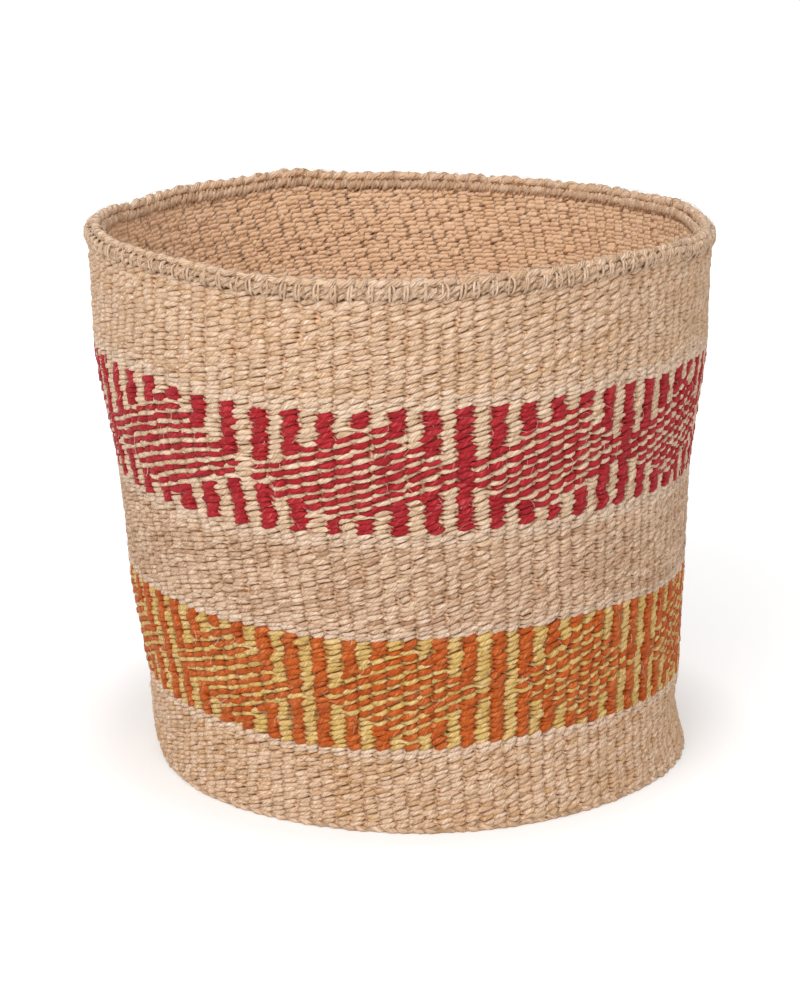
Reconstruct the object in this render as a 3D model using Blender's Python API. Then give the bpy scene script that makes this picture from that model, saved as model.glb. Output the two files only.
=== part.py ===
"""Kiondo: a round basket twined from sisal cord, flat at the base, open at the top, with a rolled rim.

Warp cords run out from the middle of the base, turn up at its edge and stand in the wall up to the rim. Weft
cords go round them in pairs: one passes outside a warp while the other passes inside it, and the two cross
before the next warp. So the base and each stretch of the wall have one layer of weft on either side of the
warps. Metres, +Z up. The origin lies under the middle of the rim, on the surface that the basket stands on.
"""

from math import atan2, cos, pi, radians, sin, tan

import bmesh
import bpy
from mathutils import Matrix, Vector

# Cords
WARP_COUNT = 130
WARP_THICKNESS = 0.0022
WEFT_THICKNESS = 0.0018
CLEARANCE = 0.0003

# Base, measured to the outside of the weft
HUB_RADIUS = 0.052
BASE_RADIUS = 0.1318
CORNER_BEND = 0.0028
BRAID_BULGE = 0.0006

# Wall, in stretches that stand one on the other
LOWER_WALL_HEIGHT = 0.0361
ORANGE_BAND_HEIGHT = 0.0536
MIDDLE_WALL_HEIGHT = 0.0500
RED_BAND_HEIGHT = 0.0571
UPPER_WALL_HEIGHT = 0.0487
ORANGE_FOOT_RADIUS = 0.1319
ORANGE_HEAD_RADIUS = 0.1363
RED_FOOT_RADIUS = 0.1391
RED_HEAD_RADIUS = 0.1461
NECK_RADIUS = 0.1480

# Rim
WARP_TUCK = 0.0012
RIM_CORE_WIDTH = 0.0040
RIM_TWINE_THICKNESS = 0.0018
RIM_TWINE_HEIGHT = 0.0060
TOP_TWINE_HEIGHT = 0.0019
LASHING_THICKNESS = 0.0010

# Set that the basket has taken in use: it leans, and its rings dip and rise towards the front, which faces -Y
LEAN = 0.0096
RIPPLE_HEIGHT = 0.0020
RIPPLE_RISE = 0.0420
RIPPLE_LOBES = 3
RIPPLE_TURN = radians(10)
RIM_DIP = 0.0009

# Faces round every ring
RING_SIDES = 48

# Shares, chosen by eye: where the base edge swells, of its height, and what rounding takes off a thickness
BRAID_SWELL_SHARES = (0.25, 0.75)
ROUNDING_SHARE = 0.3

# Colours of the dyed and the plain sisal, as on a screen, and their finish
NATURAL = (0.83, 0.70, 0.54)
WARP_OCHRE = (0.76, 0.57, 0.37)
RED = (0.70, 0.14, 0.20)
ORANGE = (0.80, 0.36, 0.15)
YELLOW = (0.81, 0.71, 0.40)
SISAL_ROUGHNESS = 0.85
NOT_METALLIC = 0.0
SMOOTH_BELOW = radians(50)

HALF_TURN_OF_CORNER = pi / 8

# Levels
WARP_LEVEL = WEFT_THICKNESS + CLEARANCE + WARP_THICKNESS / 2
BASE_TOP = WARP_LEVEL + WARP_THICKNESS / 2 + CLEARANCE + WEFT_THICKNESS
EDGE_TOP = WARP_LEVEL + CORNER_BEND
ORANGE_FOOT = EDGE_TOP + LOWER_WALL_HEIGHT
ORANGE_HEAD = ORANGE_FOOT + ORANGE_BAND_HEIGHT
RED_FOOT = ORANGE_HEAD + MIDDLE_WALL_HEIGHT
RED_HEAD = RED_FOOT + RED_BAND_HEIGHT
RIM_FOOT = RED_HEAD + UPPER_WALL_HEIGHT
WARP_TOP = RIM_FOOT + WARP_TUCK
TWINE_TOP = RIM_FOOT + RIM_TWINE_HEIGHT


def facet_loss(radius):
    """How far the middle of a ring's flat face lies inside its corners."""
    return radius * (1 - cos(pi / RING_SIDES))


def warp_radius(outer_radius):
    """Middle of the warps behind an outer layer of weft of this radius."""
    return outer_radius - facet_loss(outer_radius) - WEFT_THICKNESS - CLEARANCE - WARP_THICKNESS / 2


def settled(point):
    """Where a point of the evenly round basket lies in the one that leans and ripples."""
    rise = min(1, point.z / RIM_FOOT)
    growth = min(1, point.z / RIPPLE_RISE)
    growth = growth * growth * (3 - 2 * growth)
    azimuth = atan2(point.x, -point.y)
    ripple = RIPPLE_HEIGHT * growth * sin(RIPPLE_LOBES * (azimuth - RIPPLE_TURN))
    dip = RIM_DIP * rise * rise * cos(2 * azimuth)
    towards_front = (1 + cos(azimuth)) / 2
    lean = LEAN * (1 - rise) * (1 - rise)
    return point + Vector((lean, 0, (ripple - dip) * towards_front))


def screen_to_linear(channel):
    return ((channel + 0.055) / 1.055) ** 2.4 if channel > 0.04045 else channel / 12.92


def sisal(name, colour):
    """A matt cord material of this colour."""
    material = bpy.data.materials.new(name)
    material.use_nodes = True
    shader = material.node_tree.nodes["Principled BSDF"]
    shader.inputs["Base Color"].default_value = [screen_to_linear(channel) for channel in colour] + [1]
    shader.inputs["Roughness"].default_value = SISAL_ROUGHNESS
    shader.inputs["Metallic"].default_value = NOT_METALLIC
    return material


def add_piece(name, bm, colour, collection):
    """Turn a finished bmesh into a named object of the basket, with its own material."""
    for vert in bm.verts:
        vert.co = settled(vert.co)
    bmesh.ops.recalc_face_normals(bm, faces=bm.faces)
    mesh = bpy.data.meshes.new(name)
    bm.to_mesh(mesh)
    bm.free()
    mesh.shade_smooth()
    mesh.set_sharp_from_angle(angle=SMOOTH_BELOW)
    mesh.materials.append(sisal(name, colour))
    collection.objects.link(bpy.data.objects.new(name, mesh))


def ring(profile):
    """A closed ring turned from a profile of radius and height pairs."""
    bm = bmesh.new()
    verts = [bm.verts.new((radius, 0, height)) for radius, height in profile]
    edges = [bm.edges.new((verts[at - 1], vert)) for at, vert in enumerate(verts)]
    bmesh.ops.spin(
        bm, geom=verts + edges, cent=Vector(), axis=Vector((0, 0, 1)),
        angle=2 * pi, steps=RING_SIDES, use_merge=True,
    )
    return bm


def disc(radius, low, high):
    """A flat round plate between two heights."""
    bm = bmesh.new()
    bmesh.ops.create_cone(
        bm, cap_ends=True, segments=RING_SIDES, radius1=radius, radius2=radius,
        depth=high - low, matrix=Matrix.Translation((0, 0, (low + high) / 2)),
    )
    return bm


def cord_section(inner, outer, low, high):
    """The six-sided profile of a cord between two radii and two heights."""
    cut = ROUNDING_SHARE * (outer - inner)
    middle = (low + high) / 2
    return [
        (inner, middle), (inner + cut, high), (outer - cut, high),
        (outer, middle), (outer - cut, low), (inner + cut, low),
    ]


def warp_stations():
    """Radius, height, inward tilt and mitre of the warps where they bend, from the hub to the rim."""
    wall = warp_radius(BASE_RADIUS)
    mitre = 1 / cos(HALF_TURN_OF_CORNER)
    stations = [
        (wall - CORNER_BEND, WARP_LEVEL, HALF_TURN_OF_CORNER, mitre),
        (wall, EDGE_TOP, pi / 2 - HALF_TURN_OF_CORNER, mitre),
    ]
    levels = [
        (ORANGE_FOOT_RADIUS, ORANGE_FOOT), (ORANGE_HEAD_RADIUS, ORANGE_HEAD), (RED_FOOT_RADIUS, RED_FOOT),
        (RED_HEAD_RADIUS, RED_HEAD), (NECK_RADIUS, WARP_TOP),
    ]
    return stations + [(warp_radius(radius), height, pi / 2, 1) for radius, height in levels]


def move_tip(face, tilt, station):
    """Take the end of one warp, whose inner side faces this tilt, to its next station."""
    radius, height, next_tilt, mitre = station
    centre = face.calc_center_median()
    outward = Vector((centre.x, centre.y, 0)).normalized()
    across = Vector((-outward.y, outward.x, 0))
    inward = Vector((0, 0, cos(tilt))) - outward * sin(tilt)
    next_inward = Vector((0, 0, cos(next_tilt))) - outward * sin(next_tilt)
    for vert in face.verts:
        offset = vert.co - centre
        side = 1 if offset.dot(across) > 0 else -1
        inside = 1 if offset.dot(inward) > 0 else -1
        vert.co = (
            outward * radius + Vector((0, 0, height))
            + across * side * WARP_THICKNESS / 2 + next_inward * inside * mitre * WARP_THICKNESS / 2
        )


def warp_cords():
    """The warps packed side by side in a hub, and drawn from it one by one along the base and up the wall."""
    bm = bmesh.new()
    bmesh.ops.create_cone(
        bm, cap_ends=True, segments=2 * WARP_COUNT, radius1=HUB_RADIUS, radius2=HUB_RADIUS,
        depth=WARP_THICKNESS, matrix=Matrix.Translation((0, 0, WARP_LEVEL)),
    )
    around = [face for face in bm.faces if len(face.verts) == 4]
    around.sort(key=lambda face: atan2(face.calc_center_median().y, face.calc_center_median().x))
    tips = around[::2]
    tilt = 0
    for station in warp_stations():
        tips = bmesh.ops.extrude_discrete_faces(bm, faces=tips)["faces"]
        for tip in tips:
            move_tip(tip, tilt, station)
        tilt = station[2]
    return bm


def base_edge_braid():
    """The heavy braided row that covers the bend of the warps and carries the foot of the wall."""
    reach = WARP_THICKNESS / 2 + CLEARANCE
    wall = warp_radius(BASE_RADIUS)
    inner = wall - CORNER_BEND + reach * tan(HALF_TURN_OF_CORNER) + facet_loss(wall)
    beside_warp = wall + reach + facet_loss(BASE_RADIUS)
    top = EDGE_TOP - CLEARANCE / 2
    low_swell, high_swell = (share * EDGE_TOP for share in BRAID_SWELL_SHARES)
    profile = [
        (inner, 0), (inner, WARP_LEVEL - reach), (beside_warp, EDGE_TOP - reach * tan(HALF_TURN_OF_CORNER)),
        (beside_warp, top), (BASE_RADIUS, top), (BASE_RADIUS + BRAID_BULGE, high_swell),
        (BASE_RADIUS + BRAID_BULGE, low_swell), (BASE_RADIUS - BRAID_BULGE, 0),
    ]
    return ring(profile), inner


def add_base(collection):
    """The braided edge, and the weft below and above the warps of the base."""
    braid, braid_inner = base_edge_braid()
    add_piece("base_edge_braid", braid, NATURAL, collection)
    add_piece("base_lower_weft", disc(braid_inner - CLEARANCE, 0, WEFT_THICKNESS), NATURAL, collection)
    bend_start = warp_radius(BASE_RADIUS) - CORNER_BEND
    upper_radius = bend_start - WARP_THICKNESS / 2 * tan(HALF_TURN_OF_CORNER) - CLEARANCE
    add_piece("base_upper_weft", disc(upper_radius, BASE_TOP - WEFT_THICKNESS, BASE_TOP), NATURAL, collection)


def add_stretch(name, foot, head, colours, collection):
    """The outer and inner layers of weft of one stretch of the wall; foot and head are radius and height."""
    foot_radius, foot_height = foot
    head_radius, head_height = head
    low = foot_height + CLEARANCE / 2
    high = head_height - CLEARANCE / 2
    outer = [
        (foot_radius - WEFT_THICKNESS, low), (foot_radius, low),
        (head_radius, high), (head_radius - WEFT_THICKNESS, high),
    ]
    add_piece(f"{name}_outer_weft", ring(outer), colours[0], collection)
    corner_clear = EDGE_TOP + WARP_THICKNESS / 2 * tan(HALF_TURN_OF_CORNER) + CLEARANCE
    low = max(low, corner_clear, BASE_TOP + CLEARANCE)
    reach = WARP_THICKNESS / 2 + CLEARANCE
    foot_skin = warp_radius(foot_radius) - reach
    head_skin = warp_radius(head_radius) - reach
    inner = [
        (foot_skin - WEFT_THICKNESS, low), (foot_skin, low),
        (head_skin, high), (head_skin - WEFT_THICKNESS, high),
    ]
    add_piece(f"{name}_inner_weft", ring(inner), colours[1], collection)


def add_wall(collection):
    """Plain stretches and the two patterned bands, from the base edge up to the rim."""
    base_edge = (BASE_RADIUS, EDGE_TOP)
    orange_foot = (ORANGE_FOOT_RADIUS, ORANGE_FOOT)
    orange_head = (ORANGE_HEAD_RADIUS, ORANGE_HEAD)
    red_foot = (RED_FOOT_RADIUS, RED_FOOT)
    red_head = (RED_HEAD_RADIUS, RED_HEAD)
    neck = (NECK_RADIUS, RIM_FOOT)
    plain = (NATURAL, NATURAL)
    add_stretch("lower_wall", base_edge, orange_foot, plain, collection)
    add_stretch("orange_band", orange_foot, orange_head, (ORANGE, YELLOW), collection)
    add_stretch("middle_wall", orange_head, red_foot, plain, collection)
    add_stretch("red_band", red_foot, red_head, (RED, NATURAL), collection)
    add_stretch("upper_wall", red_head, neck, plain, collection)


def lashing_profile(inner, outer, top):
    """An arch over the rim's twines, open below, between the two radii that it must clear."""
    foot = RIM_FOOT + CLEARANCE / 2
    cut = ROUNDING_SHARE * TOP_TWINE_HEIGHT
    arch = [
        (outer, foot), (outer, top - cut), (outer - cut, top),
        (inner + cut, top), (inner, top - cut), (inner, foot),
    ]
    middle = (inner + outer) / 2
    cover = []
    for radius, height in arch:
        away = LASHING_THICKNESS if radius > middle else -LASHING_THICKNESS
        cover.append((radius + away, height if height == foot else height + LASHING_THICKNESS))
    return arch + cover[::-1]


def add_rim(collection):
    """Turned-down warp ends between two twined rows, a twine on top, and the lashing that binds them."""
    middle = warp_radius(NECK_RADIUS)
    core_half = RIM_CORE_WIDTH / 2
    foot = RIM_FOOT + CLEARANCE / 2
    core = cord_section(middle - core_half, middle + core_half, WARP_TOP + CLEARANCE, TWINE_TOP)
    add_piece("rim_core", ring(core), WARP_OCHRE, collection)
    outer_near = middle + core_half + CLEARANCE
    outer_far = outer_near + RIM_TWINE_THICKNESS
    outer_twine = cord_section(outer_near, outer_far, foot, TWINE_TOP)
    add_piece("rim_outer_twine", ring(outer_twine), NATURAL, collection)
    inner_near = middle - core_half - CLEARANCE
    inner_far = inner_near - RIM_TWINE_THICKNESS
    inner_twine = cord_section(inner_far, inner_near, foot, TWINE_TOP)
    add_piece("rim_inner_twine", ring(inner_twine), NATURAL, collection)
    low = TWINE_TOP + CLEARANCE
    top_twine = cord_section(inner_near, outer_near, low, low + TOP_TWINE_HEIGHT)
    add_piece("rim_top_twine", ring(top_twine), NATURAL, collection)
    top = low + TOP_TWINE_HEIGHT + CLEARANCE
    lashing = lashing_profile(inner_far - CLEARANCE, outer_far + CLEARANCE, top)
    add_piece("rim_lashing", ring(lashing), WARP_OCHRE, collection)


def main():
    for thing in list(bpy.data.objects):
        bpy.data.objects.remove(thing, do_unlink=True)
    basket = bpy.data.collections.new("kiondo_basket")
    bpy.context.scene.collection.children.link(basket)
    add_piece("warp_cords", warp_cords(), WARP_OCHRE, basket)
    add_base(basket)
    add_wall(basket)
    add_rim(basket)


main()
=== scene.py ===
"""A round kiondo basket: sisal strands twined row by row round standing cords, with two patterned bands."""

from dataclasses import dataclass
from math import pi, radians

import bmesh
import bpy
import numpy as np
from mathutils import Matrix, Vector


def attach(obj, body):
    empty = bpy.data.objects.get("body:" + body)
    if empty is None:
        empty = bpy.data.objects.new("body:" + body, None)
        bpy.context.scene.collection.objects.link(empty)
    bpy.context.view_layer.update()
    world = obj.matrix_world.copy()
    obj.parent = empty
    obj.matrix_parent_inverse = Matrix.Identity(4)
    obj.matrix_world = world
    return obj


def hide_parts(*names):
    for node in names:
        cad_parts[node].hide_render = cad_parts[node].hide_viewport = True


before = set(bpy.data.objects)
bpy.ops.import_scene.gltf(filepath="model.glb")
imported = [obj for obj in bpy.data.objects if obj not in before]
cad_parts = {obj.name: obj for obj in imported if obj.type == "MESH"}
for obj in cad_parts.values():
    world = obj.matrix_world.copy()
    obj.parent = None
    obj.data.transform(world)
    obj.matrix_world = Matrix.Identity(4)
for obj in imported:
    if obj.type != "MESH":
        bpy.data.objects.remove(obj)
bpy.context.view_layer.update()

bl_info = {
    "name": "Kiondo basket",
    "version": (1, 0, 0),
    "blender": (4, 5, 0),
    "location": "View3D > Sidebar > Kiondo",
    "description": "Twines a sisal basket with two patterned bands over its packed solids",
    "category": "Add Mesh",
}

BODY = "root"
TURN = 2 * pi

# Heights of the wall, in metres above the surface that the basket stands on
WALL_FOOT = 0.0031
ORANGE_FOOT = 0.0421
ORANGE_HEAD = 0.0957
RED_FOOT = 0.1457
RED_HEAD = 0.2028
RIM_FOOT = 0.2515

# Outer radius of the wall at its foot, at the bands' edges and under the rim, and how far bends are eased
BASE_RADIUS = 0.1318
WALL_LEVELS = (0, ORANGE_FOOT, ORANGE_HEAD, RED_FOOT, RED_HEAD, RIM_FOOT)
WALL_RADII = (BASE_RADIUS, 0.1319, 0.1363, 0.1391, 0.1461, 0.1480)
PROFILE_EASING = 0.008

# From the outer face of the wall in to the middle of its warps, and up to them from below the base
WALL_DEPTH = 0.0030
WARP_LEVEL = 0.0032

# A warp's bend at the corner, the share of it at mid bend, its tuck into the rim and the heights it passes
CORNER_BEND = 0.0028
CORNER_SHARE = 0.3
WARP_TUCK = 0.003
WARP_HEIGHTS = (
    WARP_LEVEL + CORNER_BEND, 0.02, ORANGE_FOOT, 0.07, ORANGE_HEAD, 0.12, RED_FOOT, 0.174, RED_HEAD, 0.23,
    RIM_FOOT, RIM_FOOT + WARP_TUCK,
)

# How square a warp's section is, and how far warps stray: as a share of their spacing, and in depth
WARP_SQUARENESS = 0.5
WARP_STRAY = 0.07
WARP_DEPTH_STRAY = 0.00016

# The roll of the rim: the middle of its section and half its width and height
ROLL_RADIUS = 0.1451
ROLL_HEIGHT = 0.2562
ROLL_HALF_WIDTH = 0.0046
ROLL_HALF_HEIGHT = 0.0044

# How the wall leans and ripples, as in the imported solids
LEAN = 0.0096
RIPPLE_HEIGHT = 0.0020
RIPPLE_RISE = 0.0420
RIPPLE_LOBES = 3
RIPPLE_TURN = radians(10)
RIM_DIP = 0.0009

# Waves that the rows make together: height, number round, radians for each metre up, and start. They have died
# out this far above the foot of the rim
WAVES = ((0.00045, 5, 95, 1.3), (0.00030, 11, -170, 4.1), (0.00018, 23, 310, 2.2))
WAVES_END = 0.012

# Where the warps bunch: by height, the swing of their azimuth and the turn of them all
BUNCH_HEIGHTS = (0, ORANGE_FOOT, ORANGE_HEAD, 0.174, RIM_FOOT)
BUNCH_SWINGS = (radians(3), radians(3), radians(5.2), radians(11.5), radians(6))
BUNCH_TURNS = (radians(7.9), radians(7.9), radians(7.0), radians(0.5), radians(5.6))
BUNCH_FROM = radians(-68)

# Lumps that the maker's hand left: degrees round from the front, height, how many degrees and metres each one
# spreads over, and how far it pushes the wall out and up
LUMPS = (
    (-50, 0.203, 11, 0.022, 0, 0.0026),
    (-85, 0.196, 28, 0.030, 0.0013, 0),
    (-88, 0.078, 28, 0.026, 0.0016, 0),
    (88, 0.196, 28, 0.024, 0.0010, 0),
    (88, 0.024, 20, 0.010, -0.0030, 0),
    (108, 0.003, 20, 0.010, -0.0050, 0),
    (74, 0.000, 20, 0.008, 0.0034, 0),
    (-88, 0.000, 22, 0.007, -0.0020, 0),
    (-45, 0.004, 30, 0.020, 0.0026, 0),
    (2, 0.000, 27, 0.016, 0.0017, 0),
    (-42, 0.2515, 19, 0.013, 0, 0.0026),
    (50, 0.2515, 17, 0.012, 0, 0.0028),
    (-8, 0.2600, 16, 0.012, 0, 0.0009),
    (-156, 0.2610, 9, 0.030, 0, 0.0034),
    (-135, 0.2610, 12, 0.030, 0.0010, 0.0008),
    (-114, 0.2610, 8, 0.020, 0, -0.0014),
    (150, 0.2610, 26, 0.020, 0, -0.0009),
    (108, 0.2610, 9, 0.020, 0.0010, 0.0014),
)

# The base: turns of twining from the middle outwards, by radius, with the warps that they cross
BASE_PITCH = 0.0024
BASE_RINGS = ((0.0018, 0.0075, 8), (0.0075, 0.0170, 16), (0.0170, 0.0340, 32), (0.0340, 0.0660, 65),
              (0.0660, 0.1262, 130))
BASE_EYE = 0.0002
SPOKE_OVERLAP = 1.02

# The edge braid: in from the foot of the wall to its middle, and up to it
BRAID_DEPTH = 0.0020
BRAID_HEIGHT = 0.0016

# Rows round the rim: radius, and the heights at which they start and end
OUTER_ROWS = (0.1480, 0.2528, 0.2571)
INNER_ROW = (0.1426, 0.2540, 0.2540)
ROPE = (0.1451, 0.2581, 0.2581)

# Warps turned down along the rim: half their thickness, and the radius and height of each cord that they make
TURNED_HALF = 0.0012
CORE_RADII = (0.1436, 0.1460, 0.1448)
CORE_HEIGHTS = (0.2548, 0.2548, 0.2566)

# The bend of a warp's end: radii, heights, warps passed, stray, and its section as shares of the warp's
END_RADII = (0.1450, 0.1450, 0.1456, 0.1464, 0.1468, 0.1466)
END_HEIGHTS = (0.2515, 0.2560, 0.2576, 0.2574, 0.2562, 0.2552)
END_WARPS = (0, 0.1, 0.3, 0.7, 1.1, 1.4)
END_STRAY = 0.0006
END_WIDTH_SHARE = 0.8
END_DEPTH_SHARE = 0.7

# The way of a lashing, from under the rope down over the outer rows
LASHING_RADII = (0.1464, 0.1479, 0.1491, 0.1496, 0.1497, 0.1493, 0.1483, 0.1470)
LASHING_HEIGHTS = (0.2578, 0.2583, 0.2577, 0.2562, 0.2545, 0.2526, 0.2514, 0.2508)
LASHING_RISE = 0.3

# A pair of lashings: how far apart, how much closer at its ends, its lean and bow, and its stray in warps
PAIR_APART = 0.0014
PAIR_APART_STRAY = 0.0003
PAIR_CLOSING = 0.4
PAIR_LEAN = 0.0005
PAIR_LEAN_STRAY = 0.0010
LASHING_BOW = 0.00035
PAIR_STRAY = 0.12

# Points along each stitch of the wall, and sides of its strands
WALL_STEPS = 4
WALL_SIDES = 6
WELD = 1e-6

# Stitches skipped from one cord to the next, so that no two have the same shades
STITCH_GAP = 3

# Where a strand stays outside two warps running, it is twisted right round between them: how far in, how thin
PINCH_IN = 0.35
PINCH_THIN = 0.30

# Where a strand passes inside the warps: how much less it slants, its share of the swing and how soon it
# reaches its full height; and how much taller its inner half is where it changes sides, to close the seam
INSIDE_FLATNESS = 1
INSIDE_SWING = 0.5
INSIDE_FULLNESS = 0.3
INSIDE_FILL = 0.9

YARN_UV = "along_and_round"
INNER_SHARE = "inner_share"
PALE_SHARE = "pale_share"


@dataclass(frozen=True)
class Lay:
    """How a strand lies as it twines: metres, and a hand of 1 where stitches rise to the right."""

    swing: float
    lift: float
    thin_out: float
    thin_up: float
    swell_out: float
    swell_up: float
    stray_out: float = 0.00016
    stray_up: float = 0.00022
    stray_along: float = 0.13
    stray_size: float = 0.11
    squareness: float = 0.55
    pointed: float = 0.5
    hand: int = 1


@dataclass(frozen=True)
class Motif:
    """A slanted diamond of diagonal lines, repeated round a band between full-height stripes.

    Its widths are counted in warps from a stripe near the front, and its lines by share of the width.
    """

    stripe_warp: int
    widths: tuple
    low_shares: tuple
    low_rows: tuple
    high_shares: tuple
    high_rows: tuple


@dataclass(frozen=True)
class Stretch:
    """Rows of twining between two heights of the wall, and the solids that they stand for."""

    name: str
    low: float
    high: float
    rows: int
    motif: Motif = None
    pale_rows: tuple = (0, 0)
    weights: tuple = (1, 1)


RED_MOTIF = Motif(
    stripe_warp=65, widths=(12, 13, 13, 13, 13, 14, 13, 13, 13, 13),
    low_shares=(0, 0.43, 1), low_rows=(9.8, 1.2, 9.9),
    high_shares=(0, 0.615, 1), high_rows=(12, 22.6, 12.2),
)
ORANGE_MOTIF = Motif(
    stripe_warp=67, widths=(13,) * 10,
    low_shares=(0.077, 0.52, 1), low_rows=(10.2, 0.6, 10.6),
    high_shares=(0.077, 0.5, 1), high_rows=(9.2, 21.4, 8.2),
)

# How far the last rows of the wall run up behind the rim
BEHIND_RIM = 0.0008

LOWER_WALL = Stretch("lower_wall", WALL_FOOT, ORANGE_FOOT, 18, pale_rows=(0, 2))
ORANGE_BAND = Stretch("orange_band", ORANGE_FOOT, ORANGE_HEAD, 22, ORANGE_MOTIF, weights=(1.11, 0.93))
MIDDLE_WALL = Stretch("middle_wall", ORANGE_HEAD, RED_FOOT, 24, pale_rows=(2, 3))
RED_BAND = Stretch("red_band", RED_FOOT, RED_HEAD, 25, RED_MOTIF, weights=(1.11, 0.94))
UPPER_WALL = Stretch("upper_wall", RED_HEAD, RIM_FOOT + BEHIND_RIM, 23, pale_rows=(3, 0))


# Colours and sizes that a user would change

def colour(name, description, default):
    return bpy.props.FloatVectorProperty(
        name=name, description=description, default=default, subtype="COLOR_GAMMA", size=3, min=0, max=1,
    )


def length(name, description, default):
    return bpy.props.FloatProperty(
        name=name, description=description, default=default, unit="LENGTH", subtype="DISTANCE",
        min=0, precision=5,
    )


class KiondoSizes(bpy.types.PropertyGroup):
    warp_count: bpy.props.IntProperty(
        name="Warps", description="Cords that stand in the wall", default=130, min=26, max=400,
    )
    warp_thickness: length("Warp thickness", "Depth of a standing cord through the wall", 0.0024)
    strand_thickness: length("Strand thickness", "Depth of a strand where it passes over a warp", 0.0019)
    strand_swing: length("Strand swing", "How far a strand passes outside and inside the warps", 0.0024)
    lashing_thickness: length("Lashing thickness", "Diameter of the threads that bind the rim", 0.0012)
    fibre_count: bpy.props.IntProperty(
        name="Loose fibres", description="Fine fibres that stand off the wall", default=800, min=1, max=4000,
    )
    rim_fibre_count: bpy.props.IntProperty(
        name="Rim fibres", description="Fine fibres that stand off the rim", default=900, min=1, max=4000,
    )


class KiondoColours(bpy.types.PropertyGroup):
    natural: colour("Natural", "Undyed sisal", (0.91, 0.775, 0.655))
    # Painted light: the inside colour is lighter and warmer than the natural one, for the light that bounces
    # inside the basket
    inside: colour("Inside", "Undyed sisal as it shows inside the basket", (0.96, 0.79, 0.63))
    pale: colour("Pale", "The lightest undyed strands", (0.96, 0.87, 0.79))
    ochre: colour("Ochre", "Undyed strands from the heart of the leaf", (0.83, 0.64, 0.43))
    # Painted shade: the warps are darker than the undyed sisal they are made of, so that the gaps between
    # stitches look deep
    painted_warp_shade: colour("Warp", "Undyed sisal of the warps", (0.70, 0.51, 0.36))
    beside_red: colour("Beside red", "Undyed strand of the red band", (0.92, 0.80, 0.68))
    red: colour("Red", "Red dye", (0.70, 0.12, 0.16))
    dark_red: colour("Dark red", "Red dye where it took best", (0.58, 0.08, 0.13))
    light_red: colour("Light red", "Red dye where it wore thin", (0.88, 0.42, 0.42))
    orange: colour("Orange", "Orange dye", (0.79, 0.36, 0.09))
    dark_orange: colour("Dark orange", "Orange dye where it took best", (0.67, 0.27, 0.08))
    yellow: colour("Yellow", "Yellow dye", (0.90, 0.76, 0.45))
    dark_yellow: colour("Olive", "Yellow dye where it took best", (0.79, 0.62, 0.29))


def chosen(context):
    """The sizes and colours set for the scene."""
    return context.scene.kiondo_sizes, context.scene.kiondo_colours


# Shape of the basket

def eased(share):
    """A share from 0 to 1 that starts and ends slowly."""
    share = np.clip(share, 0, 1)
    return share * share * (3 - 2 * share)


def outer_radius(height):
    """Outer radius of the wall, with its bends at the levels eased."""
    shifts = (-PROFILE_EASING, 0, PROFILE_EASING)
    return sum(np.interp(height + shift, WALL_LEVELS, WALL_RADII) for shift in shifts) / len(shifts)


def unevenness(azimuth, height):
    """How far the rows stray up and down together, as a hand-made wall does."""
    grown = eased(height / RIPPLE_RISE) * eased((RIM_FOOT + WAVES_END - height) / RIPPLE_RISE)
    waves = [most * np.sin(lobes * azimuth + climb * height + start) for most, lobes, climb, start in WAVES]
    return grown * sum(waves)


def lumps(azimuth, height):
    """How far the lumps push each place of the wall out and up."""
    out, up = 0, 0
    for degrees, level, spread, reach, out_most, up_most in LUMPS:
        away = (azimuth - radians(degrees) + pi) % TURN - pi
        share = np.exp(-(away / radians(spread)) ** 2 - ((height - level) / reach) ** 2)
        out, up = out + out_most * share, up + up_most * share
    return out, up


def settled(azimuth, radius, height):
    """Points of the basket as it stands: it leans to one side over its base and ripples in front."""
    rise = np.clip(height / RIM_FOOT, 0, 1)
    front = (1 + np.cos(azimuth)) / 2
    ripple = RIPPLE_HEIGHT * eased(height / RIPPLE_RISE) * np.sin(RIPPLE_LOBES * (azimuth - RIPPLE_TURN))
    dip = RIM_DIP * rise * rise * np.cos(2 * azimuth)
    out, lump = lumps(azimuth, height)
    radius = radius + out * np.clip(radius / BASE_RADIUS, 0, 1) ** 3
    across = radius * np.sin(azimuth) + LEAN * (1 - rise) ** 2
    up = height + (ripple - dip) * front + unevenness(azimuth, height) + lump * rise
    return np.stack([across, -radius * np.cos(azimuth), np.maximum(up, 0)], axis=-1)


def at_warps(values, warp):
    """Read one value per warp, part way between warps too, all the way round."""
    return np.interp(warp % len(values), np.arange(len(values) + 1), np.append(values, values[0]))


def warp_azimuth(warp, height, count):
    """Azimuth of a warp from the front, numbered from the back."""
    stray = np.random.default_rng(11).normal(0, WARP_STRAY, count)
    even = TURN * (warp + at_warps(stray, warp)) / count - pi
    swing = np.interp(height, BUNCH_HEIGHTS, BUNCH_SWINGS)
    turn = np.interp(height, BUNCH_HEIGHTS, BUNCH_TURNS)
    return even + turn + swing * np.sin(even - BUNCH_FROM)


def warp_depth(warp, count):
    """How far each warp stands proud of the wall's middle."""
    stray = np.random.default_rng(12).normal(0, WARP_DEPTH_STRAY, count)
    return at_warps(stray, warp)


# Meshes

def along_rows(along, *rows):
    """Read rows of values at a share of their length, part way between values too."""
    last = len(rows[0]) - 1
    return [np.interp(along * last, np.arange(last + 1), row) for row in rows]


def read(elements, key, width):
    """One value of each element of a mesh, as rows of numbers."""
    values = np.empty(len(elements) * width, np.float32)
    elements.foreach_get(key, values)
    return values.reshape(-1, width).astype(float)


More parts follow.
